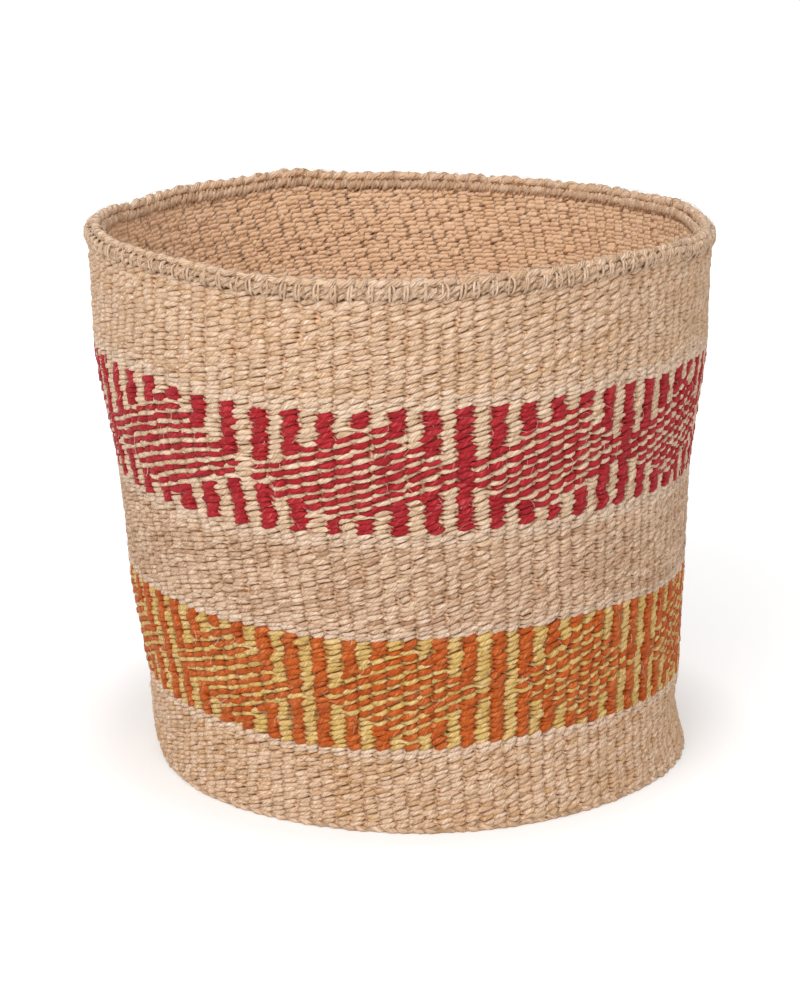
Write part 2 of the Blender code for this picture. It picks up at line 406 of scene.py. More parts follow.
def cords(name, count, sections, sides, place, stitches=1):
    """Some cords, each a closed tube: a flat grid that place bends round, welded along its seam."""
    bm = bmesh.new()
    bm.loops.layers.uv.new(YARN_UV)
    bmesh.ops.create_grid(bm, x_segments=sections, y_segments=sides, size=1, calc_uvs=True)
    mesh = bpy.data.meshes.new(name)
    bm.to_mesh(mesh)
    one_verts, one_loops = len(mesh.vertices), len(mesh.loops)
    for _ in range(count - 1):
        bm.from_mesh(mesh)
    bm.to_mesh(mesh)

    flat = read(mesh.vertices, "co", 3)
    which = np.arange(len(flat)) // one_verts
    along = np.rint((flat[:, 0] + 1) / 2 * sections)
    around = np.rint((flat[:, 1] + 1) / 2 * sides) / sides
    points, marks = place(which, along / sections, around)
    mesh.vertices.foreach_set("co", points.astype(np.float32).ravel())
    for key, values in marks.items():
        attribute = mesh.attributes.new(key, "FLOAT", "POINT")
        attribute.data.foreach_set("value", np.broadcast_to(values, which.shape).astype(np.float32))
    uv = read(mesh.uv_layers[YARN_UV].data, "uv", 2)
    uv[:, 0] = uv[:, 0] * stitches + np.arange(len(uv)) // one_loops * (stitches + STITCH_GAP)
    mesh.uv_layers[YARN_UV].data.foreach_set("uv", uv.astype(np.float32).ravel())

    bm.clear()
    bm.from_mesh(mesh)
    bmesh.ops.remove_doubles(bm, verts=bm.verts, dist=WELD)
    bmesh.ops.holes_fill(bm, edges=[edge for edge in bm.edges if edge.is_boundary], sides=sides)
    bmesh.ops.recalc_face_normals(bm, faces=bm.faces)
    bm.to_mesh(mesh)
    bm.free()
    mesh.shade_smooth()
    return mesh


def add_piece(name, mesh, material, slot, *nodes):
    """Put a finished mesh in the scene, on the frame's body, in place of any solids named."""
    mesh.materials.append(material)
    piece = bpy.data.objects.new(name, mesh)
    bpy.context.scene.collection.objects.link(piece)
    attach(piece, BODY)
    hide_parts(*nodes)


# Twining

def squared(share, power):
    """Shares of a sine or cosine pushed outwards, so that a section fills the corners of its box."""
    return np.sign(share) * np.abs(share) ** power


def strand_course(front, strand, warp):
    """Phase of a strand along the warps, 0 in front and pi behind, and how far it is pinched in between.

    Where the strands change sides the phase runs on, and where they don't it falls back, as after a full
    twist.
    """
    changes = front[1:] != front[:-1]
    middle = pi * ((front[0] != strand) + np.concatenate([[0], np.cumsum(changes)]))
    changed = np.append(changes, True).astype(float)
    none = np.zeros(len(front))
    knots = np.arange(len(front))[:, None] + np.array((-0.25, 0, 0.25, 0.5))
    phases = middle[:, None] + pi * np.stack([none - 0.25, none, none + 0.25, 0.5 * changed], axis=1)
    pinches = np.stack([none, none, none, 1 - changed], axis=1)
    return (np.interp(warp, knots.ravel(), values.ravel()) for values in (phases, pinches))


def twined(name, front, strand, lay, seat, seed, steps=WALL_STEPS, sides=WALL_SIDES, ring=False, mark=None):
    """One strand of a twined pair, seated by a function of the warp, the way out and the way up."""
    crossings = len(front) - 1
    stray = np.clip(np.random.default_rng(seed).normal(0, 1, (4, crossings + 1)), -2, 2)
    if ring:
        stray[:, -1] = stray[:, 0]
    numbers = np.arange(crossings + 1)

    def place(which, along, around):
        warp = along * crossings
        phase, pinch = strand_course(front, strand, warp)
        out_stray, up_stray, along_stray, size_stray = (np.interp(warp, numbers, row) for row in stray)
        before = np.cos(phase)
        turned = TURN * (around + 0.5 / sides)
        size = (1 + lay.stray_size * size_stray) * (1 - PINCH_THIN * pinch)
        half_out = (lay.thin_out + lay.swell_out * before ** 2) * size
        pointed = np.where(before > 0, lay.pointed, INSIDE_FULLNESS)
        half_up = (lay.thin_up + lay.swell_up * np.abs(before) ** pointed) * size
        swing = lay.swing * np.where(before > 0, 1, INSIDE_SWING)
        out = swing * before * (1 - PINCH_IN * pinch) + lay.stray_out * out_stray
        slant = 1 + INSIDE_FLATNESS * np.minimum(before, 0)
        up = lay.hand * lay.lift * slant * np.sin(phase) + lay.stray_up * up_stray
        out = out + half_out * squared(np.cos(turned), lay.squareness)
        fill = np.where(np.cos(turned) < 0, 1 + INSIDE_FILL * (1 - np.abs(before)), 1)
        up = up + half_up * fill * squared(np.sin(turned), lay.squareness)
        marks = {INNER_SHARE: 0.5 - 0.5 * before, PALE_SHARE: mark(warp) if mark else 0 * warp}
        return seat(warp + lay.stray_along * along_stray, out, up), marks

    return cords(name, 1, crossings * steps, sides, place, stitches=crossings)


def front_strands(stretch, count):
    """Which of the two strands passes outside each warp, row after row from the back."""
    crossing = np.arange(stretch.rows * count + 1)
    warp, row = crossing % count, crossing // count
    if stretch.motif is None:
        return crossing % 2
    motif = stretch.motif
    ends = np.cumsum(motif.widths)
    past = (warp - motif.stripe_warp) % ends[-1]
    at = np.searchsorted(ends, past, side="right")
    share = 1 - (ends[at] - past) / np.array(motif.widths)[at]
    low = np.interp(share, motif.low_shares, motif.low_rows)
    high = np.interp(share, motif.high_shares, motif.high_rows)
    in_diamond = (share > 0) & (row >= low) & (row < high)
    return (warp + 1 + in_diamond * row) % 2


def wall_lay(pitch, weight, sizes):
    """A strand that lies as a pointed lens over each warp, its ends tucked under those of its neighbours."""
    return Lay(
        swing=weight * sizes.strand_swing, lift=0.31 * pitch, stray_along=0.18,
        thin_out=1.45 * sizes.strand_thickness, swell_out=-0.95 * sizes.strand_thickness,
        thin_up=0.25 * weight * pitch, swell_up=0.40 * weight * pitch, stray_up=0.00014, squareness=0.55,
        pointed=1.05,
    )


def wall_strand(stretch, strand, sizes, seed):
    """One strand of a stretch of the wall, climbing a row with each turn."""
    count = sizes.warp_count
    pitch = (stretch.high - stretch.low) / stretch.rows

    def seat(warp, out, up):
        height = stretch.low + pitch * warp / count
        azimuth = warp_azimuth(warp % count, height, count)
        radius = outer_radius(height) - WALL_DEPTH + warp_depth(warp % count, count)
        return settled(azimuth, radius + out, height + up)

    def pale(warp):
        low_rows, high_rows = stretch.pale_rows
        row = warp / count
        low = eased((low_rows - row) + 0.5) if low_rows else 0
        high = eased((high_rows - (stretch.rows - row)) + 0.5) if high_rows else 0
        return low + high

    lay = wall_lay(pitch, stretch.weights[strand], sizes)
    return twined(stretch.name, front_strands(stretch, count), strand, lay, seat, seed, mark=pale)


# Materials

# Spun yarn: how far its twist wanders, the ridges of its plies in a full round, and how deep its relief is
TWIST_WANDER = 2.0
PLY_RIDGES = 6.0
RELIEF_DEPTH = 0.0003

# How much of the deep tone lies in the patches, and of the pale tone in the patches and in marked rows
PATCH_DEEP = 0.45
PATCH_PALE = 0.5
MARKED_PALE = 0.55

# Inside the basket: how much of the deep tone odd stitches have, how soon the inside's colour comes on, and
# painted light there: how far the painted shade is lifted, and towards what level
RUDDY_MOST = 0.4
INNER_EDGE = 0.18
INSIDE_LIGHT_MOST = 0.78
INSIDE_LIGHT_LEVEL = 1.08


@dataclass(frozen=True)
class Look:
    """How far a yarn strays from its main colour, how it is spun and what it shows inside the basket."""

    deep_most: float = 0.5
    pale_most: float = 0.4
    fleck_most: float = 0.35
    twist: float = -3.6
    bump: float = 0.7
    groove_shade: float = 0.76
    seam_shade: float = 0.78
    # The colour a strand takes inside the basket; where it is the inside colour, it is painted light
    inner: tuple = None
    inner_from: float = 0.62
    inner_most: float = 0.85


def screen_to_linear(screen):
    """A colour as a shader wants it, from the way it looks on a screen."""
    return [((c + 0.055) / 1.055) ** 2.4 if c > 0.04045 else c / 12.92 for c in screen] + [1]


class Nodes:
    """Adds and joins the nodes of one tree."""

    def __init__(self, tree):
        self.tree = tree

    def add(self, kind, inputs=None, **settings):
        node = self.tree.nodes.new("ShaderNode" + kind)
        for key, value in settings.items():
            setattr(node, key, value)
        for key, value in (inputs or {}).items():
            self.feed(node.inputs[key], value)
        return node

    def feed(self, socket, value):
        if isinstance(value, bpy.types.NodeSocket):
            self.tree.links.new(value, socket)
        else:
            socket.default_value = value

    def maths(self, operation, *values):
        node = self.add("Math", operation=operation)
        for at, value in enumerate(values):
            self.feed(node.inputs[at], value)
        return node.outputs[0]

    def times(self, first, second):
        return self.maths("MULTIPLY", first, second)

    def noise(self, place, scale, detail):
        return self.add("TexNoise", {"Vector": place, "Scale": scale, "Detail": detail}).outputs["Fac"]

    def ramp(self, value, low, high, to_low=0.0, to_high=1.0):
        node = self.add("MapRange", {"Value": value, "From Min": low, "From Max": high,
                                     "To Min": to_low, "To Max": to_high})
        return node.outputs["Result"]

    def mix(self, share, first, second, blend="MIX"):
        node = self.add("Mix", data_type="RGBA", blend_type=blend)
        self.feed(node.inputs["Factor"], share)
        self.feed(node.inputs[6], first)
        self.feed(node.inputs[7], second)
        return node.outputs[2]


def new_group(name, inputs, outputs):
    """An empty node group with its sockets, all of them numbers, and the nodes that stand for them."""
    tree = bpy.data.node_groups.new(name, "ShaderNodeTree")
    for socket, default in inputs.items():
        made = tree.interface.new_socket(socket, in_out="INPUT", socket_type="NodeSocketFloat")
        made.default_value = default
    for socket in outputs:
        tree.interface.new_socket(socket, in_out="OUTPUT", socket_type="NodeSocketFloat")
    nodes = Nodes(tree)
    given = tree.nodes.new("NodeGroupInput").outputs
    wanted = tree.nodes.new("NodeGroupOutput").inputs
    return nodes, given, wanted


def spun_yarn_group():
    """Two plies of sisal twisted together: their round backs, the groove between them and their fibres."""
    name = "Spun yarn"
    if name in bpy.data.node_groups:
        return bpy.data.node_groups[name]
    nodes, given, wanted = new_group(
        name, {"Twist": Look.twist, "Seed": 0.0}, ("Height", "Groove", "Fibre", "Stitch", "Lot"),
    )
    uv = nodes.add("UVMap", uv_map=YARN_UV).outputs["UV"]
    split = nodes.add("SeparateXYZ", {"Vector": uv})
    along, around = split.outputs["X"], split.outputs["Y"]
    twisted = nodes.times(along, given["Twist"])
    wobble_place = nodes.add("CombineXYZ", {"X": along, "Y": around, "Z": given["Seed"]}).outputs[0]
    wobble = nodes.noise(wobble_place, 1.7, 1.0)
    twisted = nodes.maths("MULTIPLY_ADD", wobble, TWIST_WANDER, twisted)
    ply = nodes.maths("MULTIPLY_ADD", around, PLY_RIDGES, twisted)
    back = nodes.maths("ABSOLUTE", nodes.maths("SINE", nodes.times(ply, pi)))
    rounded = nodes.maths("POWER", back, 0.6)

    across = nodes.times(ply, 0.8)
    fibre_place = nodes.add("CombineXYZ", {"X": nodes.times(along, 1.3), "Y": across, "Z": given["Seed"]})
    fibre = nodes.noise(fibre_place.outputs[0], 1.6, 2.0)
    stitch_number = nodes.maths("FLOOR", nodes.maths("ADD", along, 0.5))
    stitch_place = nodes.add("CombineXYZ", {"X": stitch_number, "Y": given["Seed"]}).outputs[0]
    stitch = nodes.add("TexWhiteNoise", {"Vector": stitch_place}, noise_dimensions="3D").outputs["Value"]
    lot_place = nodes.add("CombineXYZ", {"X": along, "Y": nodes.times(given["Seed"], 7.3)}).outputs[0]
    lot = nodes.noise(lot_place, 0.13, 2.0)

    nodes.feed(wanted["Height"], nodes.maths("MULTIPLY_ADD", fibre, 0.9, rounded))
    nodes.feed(wanted["Groove"], nodes.maths("SUBTRACT", 1.0, rounded))
    nodes.feed(wanted["Fibre"], fibre)
    nodes.feed(wanted["Stitch"], stitch)
    nodes.feed(wanted["Lot"], lot)
    return nodes.tree


def weathered_group():
    """Large soft patches over the whole basket, from one bundle of sisal to the next."""
    name = "Bundle patches"
    if name in bpy.data.node_groups:
        return bpy.data.node_groups[name]
    nodes, given, wanted = new_group(name, {"Size": 0.03}, ("Warm", "Light"))
    place = nodes.add("TexCoord").outputs["Object"]
    scale = nodes.maths("DIVIDE", 1.0, given["Size"])
    stretched = nodes.add("Mapping", {"Vector": place, "Scale": (1, 1, 1.7)}).outputs[0]
    warm = nodes.noise(stretched, scale, 3.0)
    shifted = nodes.add("Mapping", {"Vector": place, "Location": (0.4, 0.7, 0.2), "Scale": (1, 1, 2.2)})
    light = nodes.noise(shifted.outputs[0], scale, 4.0)
    nodes.feed(wanted["Warm"], nodes.ramp(warm, 0.40, 0.68))
    nodes.feed(wanted["Light"], nodes.ramp(light, 0.42, 0.66))
    return nodes.tree


def yarn_body(nodes, yarn, inner_share, tones, look):
    """Colour of the fibres: deep in lots and patches, pale in some stitches, rows and flecks."""
    main, deep, pale = (screen_to_linear(tone) for tone in tones)
    patches = nodes.add("Group", node_tree=weathered_group())
    lot = nodes.ramp(yarn["Lot"], 0.48, 0.72, 0.0, look.deep_most)
    body = nodes.mix(lot, main, deep)
    body = nodes.mix(nodes.times(patches.outputs["Warm"], PATCH_DEEP * look.deep_most), body, deep)
    marked = nodes.add("Attribute", attribute_name=PALE_SHARE).outputs["Fac"]
    light = nodes.times(patches.outputs["Light"], PATCH_PALE * look.pale_most)
    light = nodes.maths("MAXIMUM", light, nodes.ramp(yarn["Stitch"], 0.6, 1.0, 0.0, look.pale_most))
    light = nodes.maths("MAXIMUM", light, nodes.times(marked, MARKED_PALE))
    body = nodes.mix(light, body, pale)
    # Inside the basket the strand takes its inner colour; where that is the inside colour it is painted light,
    # lighter and warmer than outside
    if look.inner is not None:
        ruddy = nodes.ramp(yarn["Stitch"], 0.0, 0.5, RUDDY_MOST, 0.0)
        painted_inside_light = nodes.mix(ruddy, screen_to_linear(look.inner), deep)
        inward = nodes.ramp(inner_share, look.inner_from, look.inner_from + INNER_EDGE)
        body = nodes.mix(nodes.times(inward, look.inner_most), body, painted_inside_light)
    return nodes.mix(nodes.ramp(yarn["Fibre"], 0.56, 0.72, 0.0, look.fleck_most), body, pale)


def yarn_shade(nodes, yarn, inner_share, look):
    """Painted shade between plies, fibres and warps, lifted by painted light inside the basket, deeper in green
    and blue.
    """
    shade = nodes.ramp(yarn["Stitch"], 0.0, 0.5, 0.86, 1.0)
    # Painted shade in the grooves between the plies
    shade = nodes.times(shade, nodes.ramp(yarn["Groove"], 0.2, 1.0, 1.0, look.groove_shade))
    shade = nodes.times(shade, nodes.ramp(yarn["Fibre"], 0.33, 0.67, 0.76, 1.12))
    # Painted shade at the ends of each stitch, where the strand turns in between the warps
    shade = nodes.times(shade, nodes.ramp(inner_share, 0.26, 0.48, 1.0, look.seam_shade))
    # Painted light inside the basket: the painted shade is lifted there, a little past full brightness
    if look.inner is not None:
        even = nodes.times(nodes.ramp(inner_share, 0.53, 0.59), nodes.maths("SUBTRACT", INSIDE_LIGHT_LEVEL, shade))
        shade = nodes.maths("MULTIPLY_ADD", even, INSIDE_LIGHT_MOST, shade)
    green = nodes.maths("POWER", shade, 1.2)
    blue = nodes.maths("POWER", shade, 1.5)
    return nodes.add("CombineColor", {"Red": shade, "Green": green, "Blue": blue}).outputs[0]


def yarn_material(name, main, deep, pale, seed, **looks):
    """Sisal yarn of one colour: plies and fibres along it, lots, patches and stitches of unlike shades."""
    look = Look(**looks)
    material = bpy.data.materials.new(name)
    material.use_nodes = True
    nodes = Nodes(material.node_tree)
    shader = material.node_tree.nodes["Principled BSDF"]
    yarn = nodes.add("Group", {"Twist": look.twist, "Seed": seed}, node_tree=spun_yarn_group()).outputs
    inner_share = nodes.add("Attribute", attribute_name=INNER_SHARE).outputs["Fac"]
    body = yarn_body(nodes, yarn, inner_share, (main, deep, pale), look)
    shade = yarn_shade(nodes, yarn, inner_share, look)
    nodes.feed(shader.inputs["Base Color"], nodes.mix(1.0, body, shade, blend="MULTIPLY"))
    nodes.feed(shader.inputs["Roughness"], nodes.ramp(yarn["Fibre"], 0.3, 0.7, 0.62, 0.82))
    relief = nodes.add("Bump", {"Height": yarn["Height"], "Strength": look.bump, "Distance": RELIEF_DEPTH})
    nodes.feed(shader.inputs["Normal"], relief.outputs["Normal"])
    shader.inputs["Specular IOR Level"].default_value = 0.2
    shader.inputs["Sheen Weight"].default_value = 0.04
    return material


def undyed_yarn(colours, name, seed, **looks):
    """Undyed yarn of the edges: the braid, the rim and its lashings."""
    return yarn_material(name, colours.natural, colours.ochre, colours.pale, seed, **looks)


def natural_yarn(colours, name, seed, deep=None, deep_most=0.5):
    """Undyed yarn of the wall and the base, painted lighter and warmer inside the basket for the light that
    bounces there.
    """
    return yarn_material(name, colours.natural, deep or colours.ochre, colours.pale, seed,
                         inner=colours.inside, deep_most=deep_most, inner_from=0.55, inner_most=0.7)


# Pieces

def add_pair(name, crossings, lay, seat, seed, material, *nodes, **section):
    """Both strands of an undyed pair that change sides at every crossing."""
    front = np.arange(crossings + 1) % 2
    for strand in (0, 1):
        piece = f"{name}_strand_{strand + 1}"
        mesh = twined(piece, front, strand, lay, seat, seed + strand, **section)
        add_piece(piece, mesh, material, "natural_sisal", *nodes)


class KIONDO_OT_warps(bpy.types.Operator):
    """Lay the warps along the base and stand them in the wall"""

    bl_idname = "kiondo.warps"
    bl_label = "Warps"

    def execute(self, context):
        sizes, colours = chosen(context)
        count, half = sizes.warp_count, sizes.warp_thickness / 2
        inner, _, _ = BASE_RINGS[-1]
        foot = BASE_RADIUS - WALL_DEPTH
        early = CORNER_SHARE * CORNER_BEND
        radii = np.concatenate([[inner, foot - CORNER_BEND, foot - early],
                                outer_radius(np.array(WARP_HEIGHTS)) - WALL_DEPTH])
        heights = np.concatenate([[WARP_LEVEL, WARP_LEVEL, WARP_LEVEL + early], WARP_HEIGHTS])
        tilts = np.concatenate([[0, pi / 8, pi / 4], np.full(len(WARP_HEIGHTS), pi / 2)])

        def place(which, along, around):
            radius, height, tilt = along_rows(along, radii, heights, tilts)
            turned = TURN * (around + 0.5 / WALL_SIDES)
            out = half * squared(np.cos(turned), WARP_SQUARENESS)
            beside = which + 0.5 * np.sin(turned)
            azimuth = warp_azimuth(beside, height, count)
            radius = radius + warp_depth(beside, count) * np.sin(tilt)
            return settled(azimuth, radius + out * np.sin(tilt), height - out * np.cos(tilt)), {}

        # Painted shade: the warps take the darker warp colour, which deepens the gaps between the stitches
        material = yarn_material("warp_cord", colours.painted_warp_shade, colours.painted_warp_shade, colours.ochre, 2.0)
        mesh = cords("standing_warps", count, len(radii) - 1, WALL_SIDES, place, stitches=30)
        add_piece("standing_warps", mesh, material, "warp_sisal", "warp_cords")

        for at, (low, high, number) in enumerate(BASE_RINGS[:-1]):
            def place_spoke(which, along, around, low=low, high=high, number=number):
                radius = low + (high - low) * along * SPOKE_OVERLAP
                turned = TURN * (around + 0.5 / WALL_SIDES)
                out = half * squared(np.cos(turned), WARP_SQUARENESS)
                azimuth = TURN * (which + 0.5 * np.sin(turned)) / number
                return settled(azimuth, radius, WARP_LEVEL - out), {}

            mesh = cords(f"base_spokes_{at + 1}", number, 3, WALL_SIDES, place_spoke, stitches=4)
            add_piece(f"base_spokes_{at + 1}", mesh, material, "warp_sisal", "warp_cords")
        return {"FINISHED"}


class KIONDO_OT_base(bpy.types.Operator):
    """Twine the round base outwards from its middle"""

    bl_idname = "kiondo.base"
    bl_label = "Base"

    def execute(self, context):
        sizes, colours = chosen(context)
        material = natural_yarn(colours, "base_yarn", 3.0)
        half = sizes.strand_thickness / 2
        for at, (low, high, number) in enumerate(BASE_RINGS):
            turns = round((high - low) / BASE_PITCH)
            pitch = (high - low) / turns
            lay = Lay(swing=0.00225, lift=0.30 * pitch, thin_out=2.4 * half, swell_out=-1.4 * half,
                      thin_up=0.31 * pitch, swell_up=0.25 * pitch, stray_out=0.00008)

            def seat(warp, out, up, low=low, pitch=pitch, number=number):
                radius = low + pitch * warp / number
                return settled(TURN * warp / number, np.maximum(radius + up, BASE_EYE), WARP_LEVEL - out)

            add_pair(f"base_ring_{at + 1}", turns * number, lay, seat, 100 + 2 * at, material,
                     "base_lower_weft", "base_upper_weft", steps=4, sides=4)
        return {"FINISHED"}


class KIONDO_OT_edge_braid(bpy.types.Operator):
    """Twine the heavy row at the foot of the wall, laid the other way"""

    bl_idname = "kiondo.edge_braid"
    bl_label = "Base edge braid"

    def execute(self, context):
        sizes, colours = chosen(context)
        count = sizes.warp_count
        material = undyed_yarn(colours, "edge_yarn", 4.0, twist=1.2, groove_shade=0.88)
        lay = Lay(
            swing=0.0005, lift=0.00110, thin_out=0.0012, swell_out=0.0004, thin_up=0.0007, swell_up=0.0010,
            stray_out=0.00014, stray_up=0.00016, stray_along=0.16, squareness=0.7, hand=-1,
        )

        def seat(warp, out, up):
            azimuth = warp_azimuth(warp % count, 0, count)
            return settled(azimuth, BASE_RADIUS - BRAID_DEPTH + out, BRAID_HEIGHT + up)

        add_pair("edge_braid", count, lay, seat, 120, material, "base_edge_braid",
                 steps=8, sides=8, ring=True)
        return {"FINISHED"}


class KIONDO_OT_rim(bpy.types.Operator):
    """Turn the warps down along the edge, twine round them and bind them"""

    bl_idname = "kiondo.rim"
    bl_label = "Rim"

    def execute(self, context):
        sizes, colours = chosen(context)
        self.add_core(sizes, colours)
        outer = Lay(
            swing=0.0009, lift=0.00085, thin_out=0.0010, swell_out=0.0001, thin_up=0.0006, swell_up=0.0005,
            stray_out=0.00022, stray_up=0.00026, stray_along=0.22, stray_size=0.18, squareness=0.75,
        )
        inner = Lay(
            swing=0.0009, lift=0.00130, thin_out=0.0010, swell_out=0.0001, thin_up=0.0010, swell_up=0.0007,
            stray_out=0.00020, stray_up=0.00026, stray_along=0.22, stray_size=0.16, squareness=0.75,
        )
        rope = Lay(
            swing=0.0009, lift=0.00100, thin_out=0.0019, swell_out=0.0, thin_up=0.0016, swell_up=0.0001,
            stray_out=0.00028, stray_up=0.00028, stray_along=0.20, stray_size=0.15, squareness=0.9,
        )
        yarn = undyed_yarn(colours, "rim_yarn", 30.0, deep_most=0.25, twist=-2.0, bump=1.2)
        # The rope's inner side takes the inside colour and has its painted shade lifted: painted light on the
        # back of the rim
        rope_yarn = undyed_yarn(colours, "rope_yarn", 34.0, inner=colours.inside, deep_most=0.25,
                                fleck_most=0.4, twist=-3.5, bump=1.4, inner_most=0.4)
        inner_yarn = undyed_yarn(colours, "inner_rim_yarn", 33.0, deep_most=0.2, twist=-1.5, seam_shade=0.9)
        count = sizes.warp_count
        self.add_rope("rim_outer_rows", "rim_outer_twine", outer, OUTER_ROWS, 2, 2, count, yarn, 300)
        self.add_rope("rim_inner_rows", "rim_inner_twine", inner, INNER_ROW, 1, 3, count, inner_yarn, 310)
        self.add_rope("rim_rope", "rim_top_twine", rope, ROPE, 1, 1, count, rope_yarn, 320)
        self.add_lashings(sizes, colours)
        return {"FINISHED"}

    def add_rope(self, name, node, lay, place, turns, per_warp, count, material, seed):
        """A pair laid round the rim in some turns between two heights, crossing so often for each warp."""
        crossings = count * per_warp * turns
        radius, low, high = place

        def seat(crossing, out, up):
            height = low + (high - low) * crossing / crossings
            azimuth = warp_azimuth(crossing / per_warp % count, RIM_FOOT, count)
            return settled(azimuth, radius + out, height + up)

        add_pair(name, crossings, lay, seat, seed, material, node, steps=5, sides=6, ring=turns == 1)

    def add_core(self, sizes, colours):
        """The warp ends, turned down side by side along the edge, and the bend of each one."""
        count = sizes.warp_count
        # Painted shade: the turned warp ends take the darker warp colour, which deepens the gaps round the
        # rim's rows
        material = yarn_material("turned_warp", colours.painted_warp_shade, colours.painted_warp_shade, colours.ochre, 31.0)

        def place(which, along, around):
            radius = np.array(CORE_RADII)[which] + TURNED_HALF * np.cos(TURN * around)
            height = np.array(CORE_HEIGHTS)[which] + TURNED_HALF * np.sin(TURN * around)
            return settled(TURN * along, radius, height), {}

        mesh = cords("rim_core_cords", len(CORE_RADII), 2 * count, 6, place, stitches=2 * count)
        add_piece("rim_core_cords", mesh, material, "warp_sisal", "rim_core")

        stray = np.random.default_rng(330).normal(0, END_STRAY, count)

        def place_end(which, along, around):
            out, up, warps = along_rows(along, END_RADII, END_HEIGHTS, END_WARPS)
            out = out + stray[which] * along
            azimuth = warp_azimuth((which + warps) % count, RIM_FOOT, count)
            side = END_WIDTH_SHARE * TURNED_HALF * np.sin(TURN * around)
            bulge = END_DEPTH_SHARE * TURNED_HALF * np.cos(TURN * around)
            return settled(azimuth + side / out, out + bulge, up), {}

        mesh = cords("turned_warp_ends", count, 10, 5, place_end, stitches=3)
        add_piece("turned_warp_ends", mesh, material, "warp_sisal", "rim_core")

    def add_lashings(self, sizes, colours):
        """Pairs of thread from under the rope down over the outer rows, one pair for each warp."""
        count, half = sizes.warp_count, sizes.lashing_thickness / 2
        # The lashings take more pale stitches and flecks than the rest of the rim: painted highlight on the
        # proud threads
        material = undyed_yarn(colours, "lashing_yarn", 32.0, deep_most=0.2, pale_most=0.7, fleck_most=0.8,
                               twist=-2.0)
        drawn = np.random.default_rng(340).normal(0, 1, (4, 2 * count))
        apart_stray, lean_stray, bow_stray, pair_stray = np.clip(drawn, -2, 2)

        def place(which, along, around):
            out, up = along_rows(along, LASHING_RADII, LASHING_HEIGHTS)
            pair, member = which // 2, which % 2
            apart = (member - 0.5) * (PAIR_APART + PAIR_APART_STRAY * apart_stray[pair])
            apart = apart * (1 - PAIR_CLOSING * np.cos(TURN * along))
            lean = (PAIR_LEAN + PAIR_LEAN_STRAY * lean_stray[pair]) * (0.5 - along)
            bow = LASHING_BOW * bow_stray[which] * np.sin(pi * along)
            azimuth = warp_azimuth((pair + 0.5 + PAIR_STRAY * pair_stray[pair]) % count, RIM_FOOT, count)
            side = apart + (lean + bow) + half * np.sin(TURN * around)
            bulge = half * np.cos(TURN * around)
            return settled(azimuth + side / out, out + bulge, up + LASHING_RISE * bulge), {}

        mesh = cords("rim_lashings", 2 * count, 12, 5, place, stitches=2)
        add_piece("rim_lashings", mesh, material, "warp_sisal", "rim_lashing")


def add_stretch(stretch, materials, slots, sizes, seed):
    """Both strands of a stretch of the wall."""
    nodes = (f"{stretch.name}_outer_weft", f"{stretch.name}_inner_weft")
    for strand, (material, slot) in enumerate(zip(materials, slots)):
        name = f"{stretch.name}_strand_{strand + 1}"
        mesh = wall_strand(stretch, strand, sizes, seed + strand)
        add_piece(name, mesh, material, slot, *nodes)


class KIONDO_OT_plain_wall(bpy.types.Operator):
    """Twine the three undyed stretches of the wall"""

    bl_idname = "kiondo.plain_wall"
    bl_label = "Plain stretches"

    def execute(self, context):
        sizes, colours = chosen(context)
        # The middle stretch takes the warp colour as its deep tone, which is darker than the ochre of the other
        # stretches
        looks = (
            (LOWER_WALL, colours.ochre, 1.0),
            (MIDDLE_WALL, colours.painted_warp_shade, 0.85),
            (UPPER_WALL, colours.ochre, 0.5),
        )
        for at, (stretch, deep, most) in enumerate(looks):
            materials = [
                natural_yarn(colours, f"{stretch.name}_yarn_{strand + 1}", 5.0 + 2 * at + strand, deep, most)
                for strand in (0, 1)
            ]
            add_stretch(stretch, materials, ("natural_sisal", "natural_sisal"), sizes, 200 + 10 * at)
        return {"FINISHED"}


class KIONDO_OT_orange_band(bpy.types.Operator):
    """Twine the band of orange and yellow strands"""

    bl_idname = "kiondo.orange_band"
    bl_label = "Orange band"

    def execute(self, context):
        sizes, colours = chosen(context)
        # Inside the basket the orange strand takes the yellow, and its painted shade is lifted there: painted
        # light
        orange = yarn_material("orange_yarn", colours.orange, colours.dark_orange, colours.ochre, 21.0,
                               inner=colours.yellow, pale_most=0.15)
        yellow = yarn_material("yellow_yarn", colours.yellow, colours.dark_yellow, colours.pale, 22.0,
                               pale_most=0.2)
        add_stretch(ORANGE_BAND, (orange, yellow), ("orange_sisal", "yellow_sisal"), sizes, 240)
        return {"FINISHED"}


class KIONDO_OT_red_band(bpy.types.Operator):
    """Twine the band of red and undyed strands"""

    bl_idname = "kiondo.red_band"
    bl_label = "Red band"

    def execute(self, context):
        sizes, colours = chosen(context)
        # Inside the basket both strands take the inside colour, painted light, and their painted shade is
        # lifted there
        red = yarn_material("red_yarn", colours.red, colours.dark_red, colours.light_red, 23.0,
                            inner=colours.inside, pale_most=0.1)
        natural = yarn_material("red_band_natural_yarn", colours.beside_red, colours.ochre, colours.pale,
                                24.0, inner=colours.inside, deep_most=0.3)
        add_stretch(RED_BAND, (red, natural), ("red_sisal", "natural_sisal"), sizes, 250)
        return {"FINISHED"}


# The share of the wall's fibres that is set on the bands, and how far every fibre stands off at least
BAND_FIBRES_SHARE = 0.45
FIBRE_LEAST_PROUD = 0.0002


